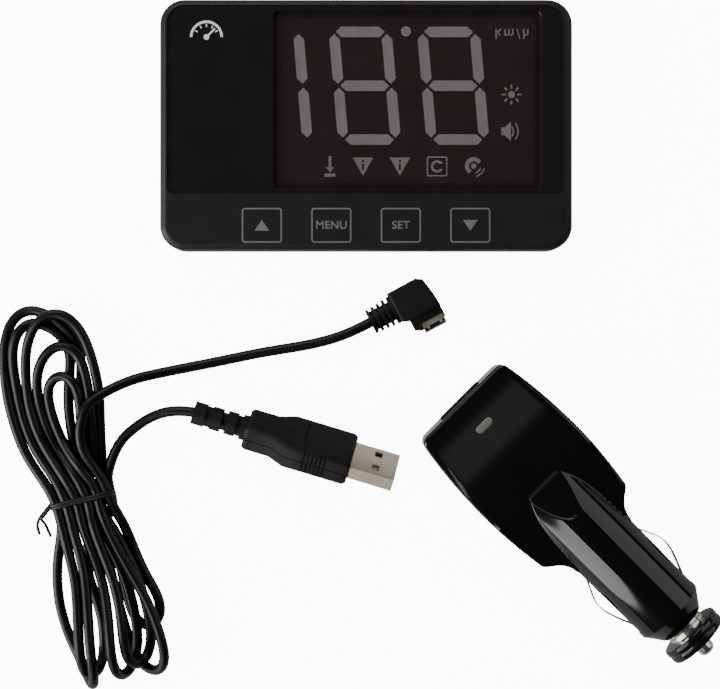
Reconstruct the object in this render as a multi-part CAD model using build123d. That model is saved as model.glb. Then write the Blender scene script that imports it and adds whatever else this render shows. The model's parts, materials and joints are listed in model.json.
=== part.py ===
from build123d import *
import math
import os

# A dash-top head-up speed display with its power lead and its 12 V adapter.
# The display lies on its back on a flat surface: +Z is out of its face, +X runs along its
# length and +Y points to its top edge. The origin is the centre of its non-slip pad.
# The lead and the adapter lie on the same surface. Sizes are in millimetres.

# Display: outside, and the levels of its layers above the surface it lies on
DISPLAY_LENGTH = 115.2
DISPLAY_WIDTH = 70.1
DISPLAY_CORNER = 7.0
DISPLAY_HEIGHT = 14.0
EDGE_ROUNDING = 2.2
WALL = 1.8
PAD_TOP = 1.0
PAD_MARGIN = 4.0
FLOOR_TOP = 3.0
SPLIT_LEVEL = 6.0
BOARD_TOP = 7.2
DECK_BOTTOM = 11.0
DECK_TOP = 12.0
PANEL_TOP = 13.6
MODULE_TOP = 11.8
INK = 0.06
CLEARANCE = 0.1

# Face panel, window and the lit module behind it
PANEL_LEFT = -55.6
PANEL_RIGHT = 55.0
PANEL_LOW = -19.2
PANEL_HIGH = 33.3
WINDOW_CENTRE = (11.6, 6.9)
WINDOW_SIZE = (74.0, 48.8)
WINDOW_THICKNESS = 0.8
MODULE_SIZE = (71.0, 46.0)
MODULE_STANDOFF = 1.0
LIT_DEPTH = 0.6

# Lit digits: three places of upright and level bars, leaning to the left at the top
DIGIT_CENTRE = (-0.35, 11.05)
DIGIT_PITCH = 24.7
BAR_SPACING = 14.7
DIGIT_HALF_HEIGHT = 15.05
UPRIGHT_LENGTH = 14.0
LEVEL_LENGTH = 13.7
BAR_WIDTH = 2.95
BAR_TIP = 1.5
LEAN = 0.086
POINT_OFFSET = (12.8, 15.2)
POINT_RADIUS = 1.4
WAVE_WIDTH = 0.44
DISH_RADIUS = 2.5

# Lit symbols
UNIT_CENTRE = (40.8, 25.7)
SUN_CENTRE = (40.65, 8.6)
SPEAKER_CENTRE = (39.6, -1.7)
SYMBOL_ROW = -11.5
SYMBOL_COLUMNS = (-10.1, -0.85, 9.45, 19.85, 30.2)

# Touch keys on the lower strip
KEY_ROW = -28.1
KEY_PITCH = 19.35
KEY_SIZE = (11.2, 9.7)
KEY_LINE = 0.42
KEY_LABELS = ("up", "MENU", "SET", "down")
LABEL_HEIGHT = 2.1
LABEL_STROKE = 0.42
SPRING_RADIUS = 3.2

# Screws and the parts on the board
SCREW_PLACES = (51.3, 28.6)
SCREW_RADIUS = 1.0
SCREW_HEAD_RADIUS = 1.9
BOSS_RADIUS = 2.8
SOCKET_Y = 5.0
SOCKET_SIZE = (6.0, 7.6, 2.8)

# Lead
CORD_DIAMETER = 2.95
CORD_RADIUS = CORD_DIAMETER / 2
CORD_AT_DISPLAY_END = [
    (1.3, -55.0, 3.7),
    (-4.8, -58.24, 3.7),
    (-14.6, -61.2, 2.4),
    (-29.0, -63.4, 1.6),
    (-44.2, -66.6, 1.55),
    (-57.8, -69.2, 2.6),
    (-67.6, -71.5, 5.6),
    (-75.2, -74.4, 8.0),
]
CORD_AT_ADAPTER_END = [
    (-48.5, -80.35, 8.1),
    (-53.2, -79.7, 7.6),
    (-59.4, -81.0, 6.2),
    (-65.4, -84.6, 4.9),
    (-70.4, -89.4, 4.3),
    (-74.2, -95.2, 4.1),
]
TIE_CENTRE = (-80.3, -105.1)
TIE_ANGLE = 12.7
BUNDLE_WIDTH = 17.8
BUNDLE_LEVELS = (0.9, 7.9)
TIE_WIRE = 0.8
UPPER_LOOP_TOP = 10.6
LOWER_LOOP_TOP = 16.2

MICRO_PLUG_PLACE = (15.2, -50.5)
MICRO_PLUG_ANGLE = -62.0
MICRO_PLUG_HEIGHT = 7.6
MICRO_SHELL_START = 2.4
MICRO_SHELL_END = 7.6
MICRO_SHELL_LEVEL = 2.9
MICRO_SHELL_SIZE = (6.85, 1.85)
MICRO_SHELL_OFFSET = 1.5
MICRO_RELIEF_LENGTH = 7.75
MICRO_RELIEF_FINS = 5

USB_PLUG_CORD_EXIT = (-48.5, -80.35, 8.1)
USB_PLUG_ANGLE = -16.8
USB_PLUG_ROLL = -55.0
USB_RELIEF_END = 15.5
USB_MOULD_END = 46.5
USB_SHELL_END = 59.3
USB_SHELL_SIZE = (12.0, 4.5)
USB_GRIP_WIDTH = 15.5
USB_GRIP_HEIGHT = 8.0
USB_GRIP_GROOVES = 6
SHEET_METAL = 0.3

# Adapter: distances run from the middle of its rear face along its axis
ADAPTER_PLACE = (26.2, -77.2)
ADAPTER_ANGLE = -45.0
BARREL_RADIUS = 10.65
ADAPTER_AXIS_LEVEL = BARREL_RADIUS + 0.05
ADAPTER_TOP = 8.8
ADAPTER_WALL = 2.0
BODY_REAR_HALF = 15.7
BODY_MIDDLE_HALF = 18.1
BODY_FRONT_HALF = 16.2
BODY_MIDDLE = 25.0
BODY_END = 49.5
SHOULDER_END = 57.5
BARREL_END = 83.1
TAPER_END = 88.0
BARREL_MOUTH_RADIUS = 6.85
BARREL_FRONT_RADIUS = 10.35
TOP_ROUNDING = 1.5
FALLING_TOP = [(33.0, 8.8), (41.0, 6.4), (50.0, 5.3), (58.5, 4.6)]
RISING_CREST = [(33.0, 8.8), (37.0, 9.45), (41.0, 10.2), (47.0, 10.7)]
BORE_RADIUS = 8.4
COLLAR_RADIUS = 5.9
COLLAR_START = 84.0
RING_START = 90.6
RING_END = 95.0
RING_RADIUS = 9.2
TIP_END = 99.2
TIP_RADIUS = 2.45
FLANGE_RADIUS = 4.2
FLANGE_START = 91.6
FUSE_RADIUS = 3.2
FUSE_LENGTH = 31.8
SEAT_END = 45.0
PART_GAP = 0.3
USB_MOUTH = (14.4, 7.2)
USB_OPENING = (13.2, 5.9)
LENS_DISTANCE = 9.1
LENS_SIZE = (5.5, 2.2)
SPRING_SLOT_START = 57.2
SPRING_SLOT_END = 80.8
SPRING_SLOT_HEIGHT = 4.6
LEAF_LINE = [(58.2, 9.7), (63.6, 11.7), (66.9, 13.0), (73.2, 12.1), (79.8, 9.5)]
LEAF_WIDTH = 4.0
LEAF_THICKNESS = 0.35


# ------------------------------------------------------------------ helpers

def plate(length, width, low, high, corner=0.0, x=0.0, y=0.0):
    """An upright-sided plate between two levels."""
    outline = RectangleRounded(length, width, corner) if corner else Rectangle(length, width)
    return Pos(x, y, low) * extrude(outline, high - low)


def post(radius, low, high, x=0.0, y=0.0):
    """A vertical cylinder between two levels."""
    return Pos(x, y, low) * extrude(Circle(radius), high - low)


def polygon(points):
    """A flat face with straight sides."""
    return make_face(Polyline(*points, close=True))


def turned(profile):
    """A solid of revolution about the local X axis, from (distance, radius) points."""
    return revolve(polygon(profile), Axis.X)


def rod(radius, start, end):
    """A round rod along the local X axis."""
    return turned([(start, 0), (start, radius), (end, radius), (end, 0)])


def stroke(start, end, width):
    """A bar with square ends between two points of a flat drawing."""
    a = Vector(*start)
    b = Vector(*end)
    middle = (a + b) / 2
    angle = math.degrees(math.atan2(b.Y - a.Y, b.X - a.X))
    return Pos(middle.X, middle.Y) * Rot(Z=angle) * Rectangle((b - a).length + width, width)


# Letters drawn with strokes in a box one unit high and 0.8 wide
LETTER_STROKES = {
    "M": [[(0, 0), (0, 1), (0.4, 0.35), (0.8, 1), (0.8, 0)]],
    "E": [[(0.7, 0), (0, 0), (0, 1), (0.7, 1)], [(0, 0.5), (0.6, 0.5)]],
    "N": [[(0, 0), (0, 1), (0.75, 0), (0.75, 1)]],
    "U": [[(0, 1), (0, 0.15), (0.15, 0), (0.6, 0), (0.75, 0.15), (0.75, 1)]],
    "S": [[(0, 0), (0.7, 0), (0.7, 0.5), (0, 0.5), (0, 1), (0.7, 1)]],
    "T": [[(0, 1), (0.8, 1)], [(0.4, 1), (0.4, 0)]],
    "k": [[(0, 0), (0, 1)], [(0.5, 0.65), (0, 0.3), (0.55, 0)]],
    "m": [[(0, 0), (0, 0.65), (0.4, 0.65), (0.4, 0)], [(0.4, 0.65), (0.8, 0.65), (0.8, 0)]],
    "/": [[(0, 0), (0.35, 1)]],
    "h": [[(0, 0), (0, 1)], [(0, 0.6), (0.5, 0.6), (0.5, 0)]],
}
LETTER_PITCH = 1.2


def lettering(word, height, width, flip=False):
    """A word in plain strokes, centred on the origin, turned top to bottom if asked."""
    length = height * (LETTER_PITCH * (len(word) - 1) + 0.75)
    way = -1 if flip else 1
    shape = Sketch()
    for place, letter in enumerate(word):
        for line in LETTER_STROKES[letter]:
            corners = [
                (height * (x + LETTER_PITCH * place) - length / 2, way * height * (y - 0.5))
                for x, y in line
            ]
            for start, end in zip(corners, corners[1:]):
                shape += stroke(start, end, width)
    return shape


# ------------------------------------------------------------------ display housing

def non_slip_pad():
    return plate(
        DISPLAY_LENGTH - 2 * PAD_MARGIN, DISPLAY_WIDTH - 2 * PAD_MARGIN, 0, PAD_TOP,
        DISPLAY_CORNER - PAD_MARGIN / 2,
    )


def screw_spots():
    x, y = SCREW_PLACES
    return [(-x, -y), (x, -y), (-x, y), (x, y)]


def inside_of_housing(low, high):
    return plate(
        DISPLAY_LENGTH - 2 * WALL, DISPLAY_WIDTH - 2 * WALL, low, high, DISPLAY_CORNER - WALL
    )


def rear_housing():
    body = plate(DISPLAY_LENGTH, DISPLAY_WIDTH, PAD_TOP, SPLIT_LEVEL, DISPLAY_CORNER)
    body = fillet(body.edges().group_by(Axis.Z)[0], EDGE_ROUNDING)
    body -= inside_of_housing(FLOOR_TOP, SPLIT_LEVEL)
    for x, y in screw_spots():
        body += post(BOSS_RADIUS, FLOOR_TOP, SPLIT_LEVEL, x, y)
        body -= post(SCREW_HEAD_RADIUS, PAD_TOP, PAD_TOP + 1.2, x, y)
        body -= post(SCREW_RADIUS + CLEARANCE, PAD_TOP, SPLIT_LEVEL, x, y)
    depth, width, height = SOCKET_SIZE
    body -= Pos(DISPLAY_LENGTH / 2, SOCKET_Y, SPLIT_LEVEL - height / 2) * Box(
        2 * depth, width + 0.4, height + 0.4
    )
    return body


def front_housing():
    body = plate(DISPLAY_LENGTH, DISPLAY_WIDTH, SPLIT_LEVEL, DISPLAY_HEIGHT, DISPLAY_CORNER)
    body = fillet(body.edges().group_by(Axis.Z)[-1], EDGE_ROUNDING)
    body -= inside_of_housing(SPLIT_LEVEL, DECK_BOTTOM)
    body -= panel_outline(DECK_TOP, DISPLAY_HEIGHT)
    body -= plate(
        MODULE_SIZE[0] + 2 * CLEARANCE, MODULE_SIZE[1] + 2 * CLEARANCE,
        DECK_BOTTOM, DECK_TOP, 1.0, *WINDOW_CENTRE
    )
    for x, y in screw_spots():
        body += post(BOSS_RADIUS, BOARD_TOP, DECK_BOTTOM, x, y)
        body -= post(SCREW_RADIUS, BOARD_TOP, DECK_BOTTOM - 1.0, x, y)
    for x in key_places():
        body -= post(SPRING_RADIUS + PART_GAP, DECK_BOTTOM, DECK_TOP + 0.6, x, KEY_ROW)
    return body


def panel_outline(low, high):
    length = PANEL_RIGHT - PANEL_LEFT
    width = PANEL_HIGH - PANEL_LOW
    middle = ((PANEL_RIGHT + PANEL_LEFT) / 2, (PANEL_HIGH + PANEL_LOW) / 2)
    outline = plate(length, width, low, high, 0.0, *middle)
    uprights = outline.edges().filter_by(Axis.Z)
    outline = fillet(uprights.sort_by(Axis.Y)[:2], 2.0)
    uprights = outline.edges().filter_by(Axis.Z)
    return fillet(uprights.sort_by(Axis.Y)[-2:], DISPLAY_CORNER - WALL)


def face_panel():
    panel = panel_outline(DECK_TOP, PANEL_TOP)
    opening = plate(*WINDOW_SIZE, DECK_TOP, PANEL_TOP, 1.2, *WINDOW_CENTRE)
    bevel = Pos(*WINDOW_CENTRE, PANEL_TOP) * extrude(
        RectangleRounded(WINDOW_SIZE[0] + 1.0, WINDOW_SIZE[1] + 1.0, 1.6), -0.7, taper=35
    )
    return panel - opening - bevel


def display_window():
    return plate(
        WINDOW_SIZE[0] - 2 * CLEARANCE, WINDOW_SIZE[1] - 2 * CLEARANCE,
        DECK_TOP, DECK_TOP + WINDOW_THICKNESS, 1.1, *WINDOW_CENTRE
    )


def housing_screws():
    screws = Part()
    for x, y in screw_spots():
        screws += post(SCREW_HEAD_RADIUS, PAD_TOP, PAD_TOP + 1.2, x, y)
        screws += post(SCREW_RADIUS, PAD_TOP, DECK_BOTTOM - 1.4, x, y)
    return screws


# ------------------------------------------------------------------ lit module

def bar(length, centre, upright, digit_x):
    """One bar of a digit, with pointed ends, leaned over about the digit's middle."""
    half = length / 2
    side = BAR_WIDTH / 2
    points = [
        (-half, 0), (-half + BAR_TIP, side), (half - BAR_TIP, side),
        (half, 0), (half - BAR_TIP, -side), (-half + BAR_TIP, -side),
    ]
    if upright:
        points = [(y, x) for x, y in points]
    moved = [(centre[0] + x, centre[1] + y) for x, y in points]
    return polygon([(digit_x + x - LEAN * y, DIGIT_CENTRE[1] + y) for x, y in moved])


def digit_face(digit_x, right_side_only=False):
    """The seven bars of one digit, or only the two right-hand uprights."""
    across = BAR_SPACING / 2
    middle = DIGIT_HALF_HEIGHT / 2
    face = Sketch()
    for level in (-middle, middle):
        face += bar(UPRIGHT_LENGTH, (across, level), True, digit_x)
        if not right_side_only:
            face += bar(UPRIGHT_LENGTH, (-across, level), True, digit_x)
    if not right_side_only:
        for level in (-DIGIT_HALF_HEIGHT, 0, DIGIT_HALF_HEIGHT):
            face += bar(LEVEL_LENGTH, (0, level), False, digit_x)
    return face


def point_face():
    x = DIGIT_CENTRE[0] + POINT_OFFSET[0] - LEAN * POINT_OFFSET[1]
    return Pos(x, DIGIT_CENTRE[1] + POINT_OFFSET[1]) * Circle(POINT_RADIUS)


def unit_face():
    return Pos(*UNIT_CENTRE) * lettering("km/h", 2.6, 0.5, flip=True)


def sun_face():
    face = Sketch() + Circle(1.0)
    for step in range(8):
        face += Rot(Z=45 * step) * Pos(2.2, 0) * Rectangle(1.15, 0.5)
    return Pos(*SUN_CENTRE) * face


def wave(radius, wedge):
    """A thin arc about the origin, cut to a wedge."""
    return (Circle(radius + WAVE_WIDTH / 2) - Circle(radius - WAVE_WIDTH / 2)) & wedge


def speaker_face():
    face = Sketch() + polygon([
        (-1.8, -1.1), (-0.9, -1.1), (0.9, -2.7), (0.9, 2.7), (-0.9, 1.1), (-1.8, 1.1)
    ])
    for radius in (2.2, 3.5):
        face += Pos(-0.6, 0) * wave(radius, polygon([(0, 0), (6, -5), (6, 5)]))
    return Pos(*SPEAKER_CENTRE) * face


def arrow_face():
    """An arrow down to a bar."""
    face = Sketch() + Pos(0, -2.45) * Rectangle(3.1, 0.95)
    face += Pos(0, 1.35) * Rectangle(0.8, 3.1)
    face += polygon([(0, -1.75), (1.2, -0.2), (-1.2, -0.2)])
    return face


def notice_face():
    """A warning triangle, turned top to bottom."""
    triangle = polygon([(-2.9, 2.5), (2.9, 2.5), (0, -2.6)])
    return triangle - Pos(0, 1.5) * Circle(0.34) - Pos(0, -0.1) * Rectangle(0.55, 1.8)


def boxed_letter_face():
    frame = RectangleRounded(5.8, 5.6, 0.5) - RectangleRounded(5.0, 4.8, 0.3)
    ring = Circle(1.75) - Circle(1.05) - Pos(1.4, 0) * Rectangle(1.6, 1.5)
    return Sketch() + frame + ring


def dish_face():
    """A dish that opens down to the right, and the waves it picks up."""
    opening = Pos(DISH_RADIUS + 0.5, 0) * Rectangle(2 * DISH_RADIUS, 3 * DISH_RADIUS)
    face = Sketch() + (Circle(DISH_RADIUS) - Circle(1.3) - opening) + Circle(0.75)
    for radius in (1.95, 2.95):
        face += wave(radius, polygon([(0.6, 0), (4, -3), (4, 3)]))
    return Pos(-0.1, 0.1) * Rot(Z=-45) * face


def status_faces():
    shapes = (arrow_face(), notice_face(), notice_face(), boxed_letter_face(), dish_face())
    face = Sketch()
    for x, shape in zip(SYMBOL_COLUMNS, shapes):
        face += Pos(x, SYMBOL_ROW) * shape
    return face


def lit(face):
    """A light-diffusing inlay, flush with the top of the module."""
    return Pos(0, 0, MODULE_TOP - LIT_DEPTH) * extrude(face, LIT_DEPTH)


def lit_faces():
    left = DIGIT_CENTRE[0] - DIGIT_PITCH
    right = DIGIT_CENTRE[0] + DIGIT_PITCH
    return {
        "left_digit": digit_face(left, right_side_only=True),
        "middle_digit": digit_face(DIGIT_CENTRE[0]),
        "right_digit": digit_face(right),
        "lit_point": point_face(),
        "speed_unit_legend": unit_face(),
        "brightness_symbol": sun_face(),
        "sound_symbol": speaker_face(),
        "status_symbols": status_faces(),
    }


def led_module_housing(faces):
    block = plate(*MODULE_SIZE, BOARD_TOP, MODULE_TOP, 0.8, *WINDOW_CENTRE)
    block -= plate(
        MODULE_SIZE[0] - 3, MODULE_SIZE[1] - 3,
        BOARD_TOP, BOARD_TOP + MODULE_STANDOFF, 0.0, *WINDOW_CENTRE
    )
    for face in faces.values():
        block -= lit(face)
    return block


def led_chips():
    chips = Part()
    for place in (-1, 0, 1):
        x = DIGIT_CENTRE[0] + place * DIGIT_PITCH
        for side in ((1,) if place < 0 else (-1, 1)):
            for level in (-1, 1):
                y = DIGIT_CENTRE[1] + level * DIGIT_HALF_HEIGHT / 2
                chips += plate(
                    1.6, 0.8, BOARD_TOP, BOARD_TOP + 0.6, 0.0,
                    x + side * BAR_SPACING / 2 - LEAN * level * DIGIT_HALF_HEIGHT / 2, y
                )
    for x in SYMBOL_COLUMNS:
        chips += plate(1.6, 0.8, BOARD_TOP, BOARD_TOP + 0.6, 0.0, x, SYMBOL_ROW)
    return chips


# ------------------------------------------------------------------ printed marks

def key_places():
    return [KEY_PITCH * (place - 1.5) for place in range(4)]


def printed(face, level):
    return Pos(0, 0, level) * extrude(face, INK)


def key_outlines():
    length, width = KEY_SIZE
    outline = RectangleRounded(length, width, 0.9) - RectangleRounded(
        length - 2 * KEY_LINE, width - 2 * KEY_LINE, 0.5
    )
    face = Sketch()
    for x in key_places():
        face += Pos(x, KEY_ROW) * outline
    return printed(face, DISPLAY_HEIGHT)


def key_labels():
    triangle = polygon([(-2.1, -1.5), (2.1, -1.5), (0, 1.5)])
    face = Sketch()
    for x, label in zip(key_places(), KEY_LABELS):
        if label in ("up", "down"):
            shape = triangle if label == "up" else Rot(Z=180) * triangle
        else:
            shape = lettering(label, LABEL_HEIGHT, LABEL_STROKE)
        face += Pos(x, KEY_ROW) * shape
    return printed(face, DISPLAY_HEIGHT)


def gauge_emblem():
    """A plain gauge pictogram: an arc of scale, its ticks and a needle."""
    arc = (Circle(4.6) - Circle(3.9)) & (Pos(0, 3) * Rectangle(12, 6))
    face = Sketch() + arc + Circle(0.8) + stroke((0, 0), (2.2, 2.2), 0.5)
    for step in range(1, 6):
        face += Rot(Z=30 * step) * Pos(3.2, 0) * Rectangle(0.8, 0.35)
    return printed(Pos(-44.5, 24.4) * face, PANEL_TOP)


# ------------------------------------------------------------------ parts on the board

def main_board():
    board = plate(DISPLAY_LENGTH - 5, DISPLAY_WIDTH - 5, SPLIT_LEVEL, BOARD_TOP, 4.0)
    for x, y in screw_spots():
        board -= post(SCREW_RADIUS + CLEARANCE, SPLIT_LEVEL, BOARD_TOP, x, y)
    return board


def satellite_antenna():
    return plate(18.4, 18.4, BOARD_TOP, BOARD_TOP + 3.6, 0.6, -40.5, 14.0)


def receiver_shield():
    can = plate(14, 11, BOARD_TOP, BOARD_TOP + 2.4, 0.5, -40.5, -2.5)
    return can - plate(13.6, 10.6, BOARD_TOP, BOARD_TOP + 2.2, 0.3, -40.5, -2.5)


def microcontroller():
    return plate(9, 9, BOARD_TOP, BOARD_TOP + 1.4, 0.2, -29.5, -14.5)


def buzzer():
    return post(4.5, BOARD_TOP, BOARD_TOP + 3.2, -45, -15.5) - post(
        0.8, BOARD_TOP + 2.2, BOARD_TOP + 3.2, -45, -15.5
    )


def backup_cell():
    return post(6.0, SPLIT_LEVEL - 2.4, SPLIT_LEVEL, 20, -8)


def touch_key_springs():
    springs = Part()
    for x in key_places():
        springs += post(SPRING_RADIUS, BOARD_TOP, DECK_TOP + 0.6, x, KEY_ROW)
        springs -= post(SPRING_RADIUS - 0.5, BOARD_TOP, DECK_TOP + 0.6, x, KEY_ROW)
    return springs


def socket_frame():
    depth, width, height = SOCKET_SIZE
    return Pos(DISPLAY_LENGTH / 2 - 1.0 - depth / 2, SOCKET_Y, SPLIT_LEVEL - height / 2)


def micro_socket_shell():
    depth, width, height = SOCKET_SIZE
    inner = Pos(SHEET_METAL, 0, 0) * Box(depth, width - 2 * SHEET_METAL, height - 2 * SHEET_METAL)
    return socket_frame() * (Box(depth, width, height) - inner)


def micro_socket_tongue():
    depth, width, height = SOCKET_SIZE
    return socket_frame() * Pos(-0.5 + SHEET_METAL / 2, 0, 0.35) * Box(
        depth - 1.0 - SHEET_METAL, width - 3.4, 0.6
    )


# ------------------------------------------------------------------ lead

def corner_radii(points):
    """The largest arcs that the runs of a route leave room for."""
    radii = []
    for before, corner, after in zip(points, points[1:], points[2:]):
        arriving = Vector(*corner) - Vector(*before)
        leaving = Vector(*after) - Vector(*corner)
        half_turn = math.radians(arriving.get_angle(leaving)) / 2
        radii.append(0.45 * min(arriving.length, leaving.length) / math.tan(half_turn))
    return radii


def cord_tube(name, points):
    radii = corner_radii(points)
    path = FilletPolyline(*points, radius=radii)
    start = Plane(origin=path @ 0, z_dir=path % 0)
    tube = sweep(start * Circle(CORD_RADIUS), path=path)
    ratio = tube.volume / (math.pi * CORD_RADIUS**2 * path.length)
    print(name, "radii", [round(radius, 1) for radius in radii], "length", round(path.length, 1),
          "volume ratio", round(ratio, 4))
    return tube


def loop_solid(points, top):
    """One end of the hank: the outer shape of its turns, rounded in plan."""
    face = make_face(Spline(*points, periodic=True))
    solid = extrude(face, top)
    return chamfer(solid.edges().group_by(Axis.Z)[-1], 1.2)


def tie_frame():
    return Pos(*TIE_CENTRE, 0) * Rot(Z=TIE_ANGLE)


def cord_hank():
    upper = loop_solid(
        [(-84, -98), (-96.5, -88), (-102.4, -73), (-102.2, -58), (-94.5, -48.6),
         (-84, -50.5), (-76.2, -61), (-74.6, -78), (-76, -97)],
        UPPER_LOOP_TOP,
    )
    lower = loop_solid(
        [(-82, -112), (-87.4, -128), (-86.6, -142), (-83, -155), (-76, -159.2),
         (-64, -157.8), (-54.6, -152.5), (-54.8, -141), (-62.5, -122), (-74, -110.5)],
        LOWER_LOOP_TOP,
    )
    low, high = BUNDLE_LEVELS
    neck = tie_frame() * plate(BUNDLE_WIDTH, 24.0, low, high, 1.5)
    return upper + lower + neck


def cable_tie():
    low, high = BUNDLE_LEVELS
    outer = Rectangle(BUNDLE_WIDTH + 2 * TIE_WIRE, high - low + 2 * TIE_WIRE)
    inner = Rectangle(BUNDLE_WIDTH, high - low)
    band = Plane.XZ * (fillet(outer.vertices(), 1.6) - inner)
    band = Pos(0, TIE_WIRE, (low + high) / 2) * extrude(band, 2 * TIE_WIRE)
    end = -BUNDLE_WIDTH / 2 - TIE_WIRE
    tail = FilletPolyline((end, 0, 4.4), (end - 3.2, -2.2, 5.0), (end - 2.6, -6.6, 5.0), radius=1.0)
    wire = sweep(Plane(origin=tail @ 0, z_dir=tail % 0) * Circle(0.6), path=tail)
    return tie_frame() * (band + wire)


def micro_plug_frame():
    return Pos(*MICRO_PLUG_PLACE, 0) * Rot(Z=MICRO_PLUG_ANGLE)


def micro_plug_overmould():
    """The right-angled head: the local X axis is the way the plug goes in."""
    outline = polygon([
        (-7.5, -6.6), (-7.6, 2.4), (-6.4, 4.3), (-1.4, 5.1), (2.4, 5.4), (2.4, -4.5), (1.5, -6.6)
    ])
    head = Pos(0, 0, 0.1) * extrude(outline, MICRO_PLUG_HEIGHT)
    head = fillet(head.edges().group_by(Axis.Z)[-1], 0.9)
    arms = polygon([(2.4, -4.3), (2.4, 5.3), (5.6, 5.3), (6.4, 4.4), (6.4, -2.8), (5.4, -4.3)])
    head += Pos(0, 0, 0.1) * extrude(arms, 5.2)
    width, height = MICRO_SHELL_SIZE
    socket = Box(6.0, width + 0.05, height + 0.05)
    head -= Pos(MICRO_SHELL_START + 3.0, MICRO_SHELL_OFFSET, MICRO_SHELL_LEVEL) * socket
    open_end = Box(6.0, width + 0.05, 5.0)
    return head - Pos(7.6, MICRO_SHELL_OFFSET, MICRO_SHELL_LEVEL + 2.5) * open_end


def micro_plug_strain_relief():
    """Oval fins on a short core, growing towards the plug."""
    relief = rod(2.9, 0, MICRO_RELIEF_LENGTH) - rod(CORD_RADIUS, 0, 3.0)
    pitch = (MICRO_RELIEF_LENGTH - 0.9) / (MICRO_RELIEF_FINS - 1)
    for step in range(MICRO_RELIEF_FINS):
        fin = extrude(Plane.YZ * Ellipse(3.6 + 0.15 * step, 3.5), 0.9)
        relief += Pos(pitch * step, 0, 0) * (fin - rod(CORD_RADIUS, -1, 1))
    return Pos(*CORD_AT_DISPLAY_END[0]) * Rot(Z=MICRO_PLUG_ANGLE + 90) * relief


def micro_shell_frame(x):
    """The middle of the metal shell's section, at a distance along the way the plug goes in."""
    return micro_plug_frame() * Pos(x, MICRO_SHELL_OFFSET, MICRO_SHELL_LEVEL)


def micro_plug_shell():
    length = MICRO_SHELL_END - MICRO_SHELL_START
    width, height = MICRO_SHELL_SIZE
    inside = Box(length, width - 2 * SHEET_METAL, height - 2 * SHEET_METAL)
    shell = Box(length, width, height) - Pos(SHEET_METAL, 0, 0) * inside
    return micro_shell_frame(MICRO_SHELL_START + length / 2) * shell


def micro_plug_tongue():
    return micro_shell_frame(4.8) * Pos(0, 0, -0.25) * Box(4.2, 4.6, 0.6)


def micro_plug_latches():
    hooks = Part()
    for side in (-1, 1):
        hooks += Pos(0, 2.0 * side, MICRO_SHELL_SIZE[1] / 2 + 0.125) * Box(1.4, 0.8, 0.25)
    return micro_shell_frame(6.1) * hooks


def usb_plug_frame():
    return Pos(*USB_PLUG_CORD_EXIT) * Rot(Z=USB_PLUG_ANGLE) * Rot(X=USB_PLUG_ROLL)


def usb_plug_overmould():
    """The waisted grip, with a parting line all round and grooves across each side."""
    rear = USB_RELIEF_END
    end = USB_MOULD_END
    half_width = USB_GRIP_WIDTH / 2
    waist = half_width - 2.4
    one_side = [
        (rear, waist - 0.75), (rear + 1.0, waist), (rear + 8.0, waist),
        (rear + 12.5, half_width), (end - 1.0, half_width), (end, half_width - 0.85),
    ]
    other_side = [(x, -y) for x, y in reversed(one_side)]
    face = polygon(one_side + other_side)
    mould = Pos(0, 0, -USB_GRIP_HEIGHT / 2) * extrude(face, USB_GRIP_HEIGHT)
    levels = mould.edges().group_by(Axis.Z)
    mould = fillet(levels[0] + levels[-1], 1.3)
    rim = face - offset(face, -0.3, kind=Kind.INTERSECTION)
    mould -= Pos(0, 0, -0.12) * extrude(rim, 0.24)
    for side in (-1, 1):
        for step in range(USB_GRIP_GROOVES):
            x = end - 13.0 + 1.2 * step
            mould -= Pos(x, side * half_width, 0) * Box(0.5, 1.4, USB_GRIP_HEIGHT + 1)
        mould -= Pos(end - 14.1, 0.6, side * USB_GRIP_HEIGHT / 2) * Box(0.7, 9.0, 0.8)
    mould -= Pos(end, 0, 0) * Box(4.0, *USB_SHELL_SIZE)
    return usb_plug_frame() * mould


def usb_plug_strain_relief():
    """Collars on a thin core, joined by pairs of bridges that alternate between top and sides."""
    relief = rod(2.3, 0, USB_RELIEF_END)
    for start, end, radius in ((0, 3.6, 3.3), (5.2, 8.3, 3.35), (9.6, 12.6, 3.4), (14.0, 15.5, 3.6)):
        relief += rod(radius, start, end)
    for start, turn in ((3.6, 0), (8.3, 90), (12.6, 0)):
        bridges = Box(1.6, 1.6, 6.2) - Box(1.7, 1.7, 4.2)
        relief += Rot(X=turn) * Pos(start + 0.8, 0, 0) * bridges
    return usb_plug_frame() * (relief - rod(CORD_RADIUS, 0, 6.0))


def usb_plug_shell():
    length = USB_SHELL_END - USB_MOULD_END + 2.0
    width, height = USB_SHELL_SIZE
    outside = Box(length, width, height)
    outside = fillet(outside.edges().filter_by(Axis.X), 0.6)
    inside = Box(length, width - 2 * SHEET_METAL, height - 2 * SHEET_METAL)
    inside = fillet(inside.edges().filter_by(Axis.X), 0.3)
    shell = outside - Pos(SHEET_METAL, 0, 0) * inside
    for side in (-1, 1):
        shell -= Pos(length / 2 - 5.9, side * 2.9, 0) * Box(2.2, 2.3, 10)
    return usb_plug_frame() * Pos(USB_SHELL_END - length / 2, 0, 0) * shell


def usb_plug_tongue():
    width, height = USB_SHELL_SIZE
    length = USB_SHELL_END - USB_MOULD_END + 0.9
    tongue = Box(length, width - 2 * SHEET_METAL - 0.6, 1.9)
    return usb_plug_frame() * Pos(USB_SHELL_END - 0.8 - length / 2, 0, -height / 2 + 1.25) * tongue


def usb_plug_contacts():
    height = USB_SHELL_SIZE[1]
    contacts = Part()
    for place in (-3.5, -1.0, 1.0, 3.5):
        contacts += Pos(USB_SHELL_END - 5.8, place, -height / 2 + 2.25) * Box(8.0, 1.0, 0.1)
    return usb_plug_frame() * contacts


# ------------------------------------------------------------------ adapter

def adapter_frame():
    return Pos(*ADAPTER_PLACE, ADAPTER_AXIS_LEVEL) * Rot(Z=ADAPTER_ANGLE)


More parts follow.
